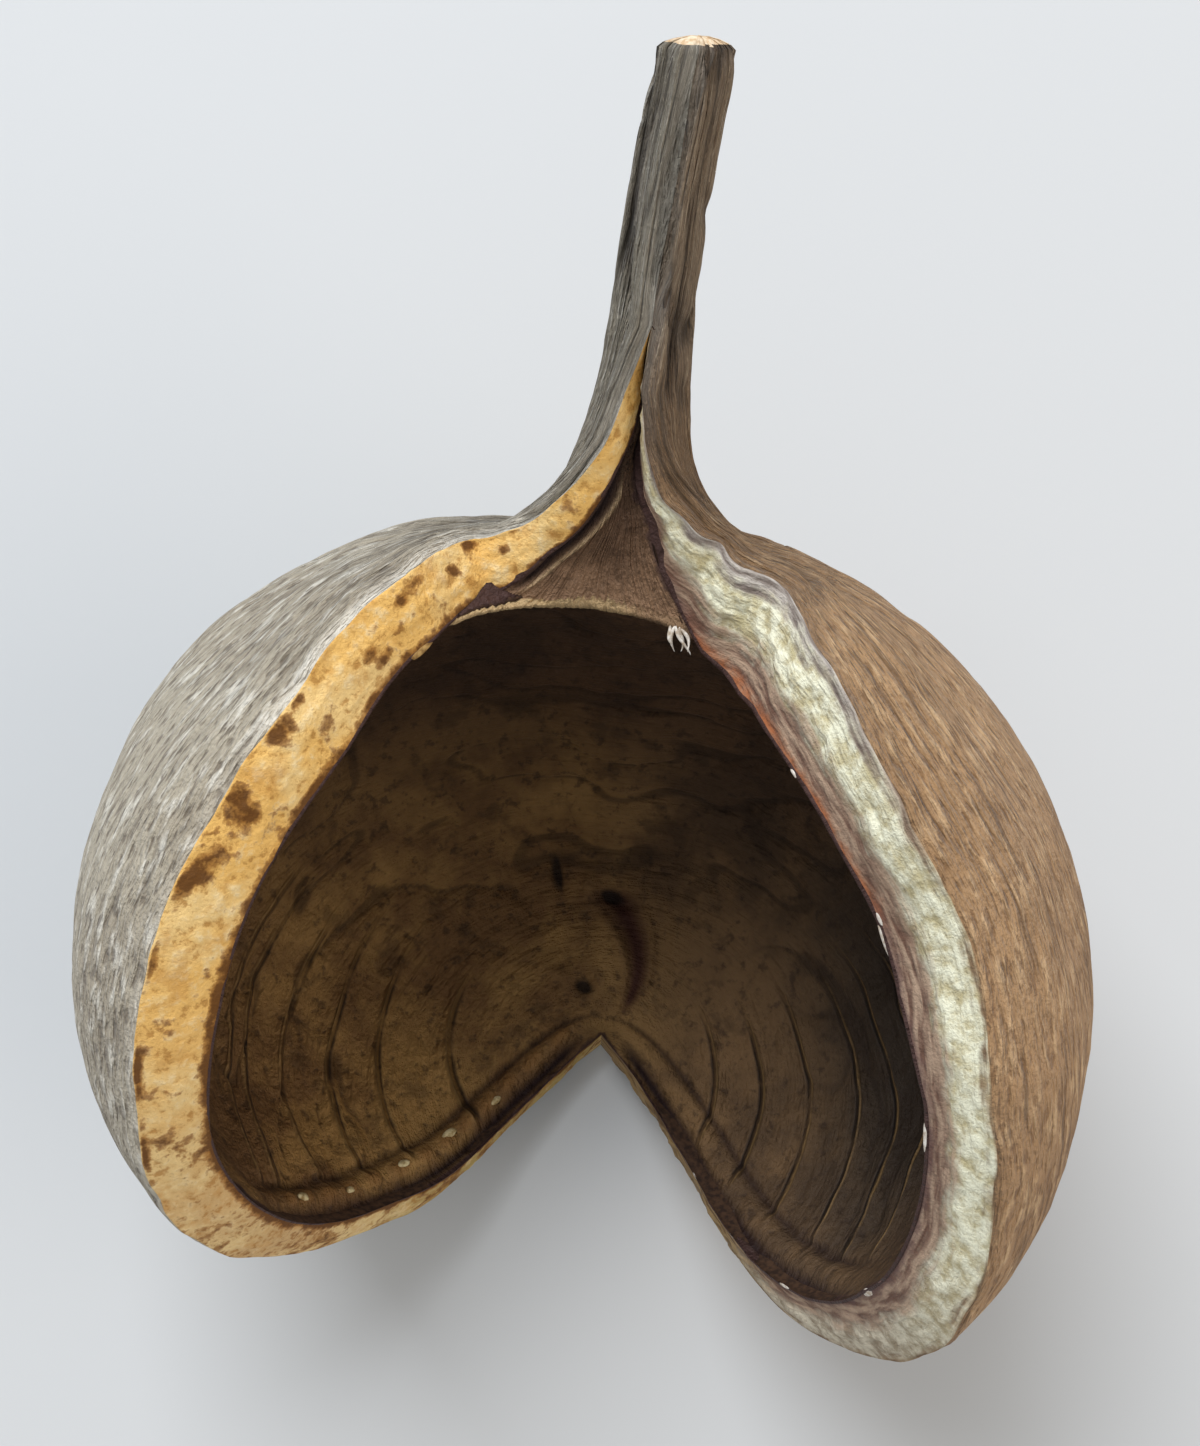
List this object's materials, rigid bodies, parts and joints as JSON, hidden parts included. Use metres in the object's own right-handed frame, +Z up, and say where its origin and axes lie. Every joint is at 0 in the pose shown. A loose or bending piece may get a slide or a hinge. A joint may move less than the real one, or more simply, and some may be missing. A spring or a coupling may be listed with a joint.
{
  "type": "buddha nut pod",
  "caption": "Dried woody seed pod, gaping open: round valves with a thick parted rim, a deep cavity, a notch between the lobes and a fluted stalk.",
  "frame": {"origin": "middle of the small flat spot on the pod's back that it lies on, at the level of the surface", "axes": "+Z up, out of the surface it lies on; +Y along the pod towards the stalk; +X across the two valves, to the right seen from above with the stalk away"},
  "size_m": [0.1269, 0.1462, 0.1176],
  "materials": {
    "dry_husk": "dry, velvety and furrowed outside, bare fibrous wood where the pod parted, dark brown lining"
  },
  "bodies": {
    "root": {"pod": "dry_husk"}
  },
  "joints": []
}
